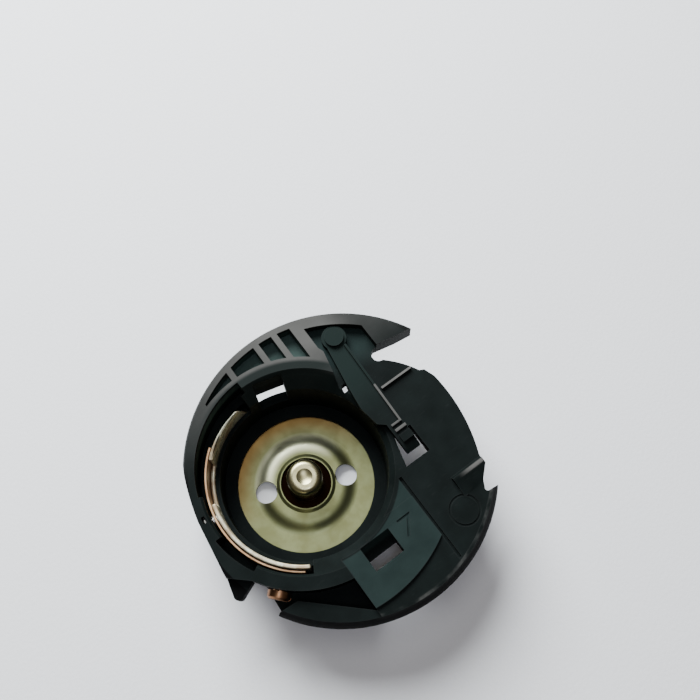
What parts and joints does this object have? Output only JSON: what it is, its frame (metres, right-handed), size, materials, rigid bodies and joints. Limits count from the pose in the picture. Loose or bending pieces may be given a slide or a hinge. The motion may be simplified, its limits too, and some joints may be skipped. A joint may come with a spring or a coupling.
{
  "type": "drop-in bobbin case",
  "caption": "Round black moulded case with a cup, steel floor disc and centre stud for a sewing machine's bobbin, with a sprung leaf and screw that tension its thread and a latch arm.",
  "frame": {"origin": "on the axis of the stud that centres the bobbin, on the plane the case rests on", "axes": "+Z along the stud, the way the bobbin lifts out; +Y along the latch arm from its finger to its pivot; +X to the open side of the flange"},
  "size_m": [0.0393, 0.0412, 0.013],
  "materials": {
    "moulding": "satin black with a green-grey cast",
    "arm": "satin black",
    "pin": "blackened",
    "disc": "pale zinc passivated",
    "stud": "polished",
    "strip": "bright nickel",
    "leaf": "bright spring steel",
    "tension_screw": "copper coloured",
    "anchor_screw": "plain"
  },
  "bodies": {
    "case": {"case_body": "moulding", "base_disc": "disc", "centre_stud": "stud", "thread_plate": "strip", "anchor_screw": "anchor_screw", "pivot_pin": "pin"},
    "latch": {"latch_arm": "arm"},
    "leaf": {"tension_leaf": "leaf"},
    "screw": {"tension_screw": "tension_screw"}
  },
  "joints": [
    {"name": "latch_swing", "type": "hinge", "parent": "case", "child": "latch", "pos_m": [0.0138, 0.012, 0.01135], "axis": [0, 0, 1], "range_deg": [-2, 2]},
    {"name": "tension_turn", "type": "hinge", "parent": "case", "child": "screw", "pos_m": [-0.01119, -0.01043, 0.0088], "axis": [0.7314, 0.682, 0], "range_deg": [-90, 90]},
    {"name": "leaf_bend", "type": "hinge", "parent": "case", "child": "leaf", "pos_m": [-0.01251, 0.00187, 0.0088], "axis": [0, 0, 1], "range_deg": [-0.6, 0.6]}
  ],
  "couplings": [
    {"joint": "leaf_bend", "follows": "tension_turn", "ratio": 0.0064}
  ]
}
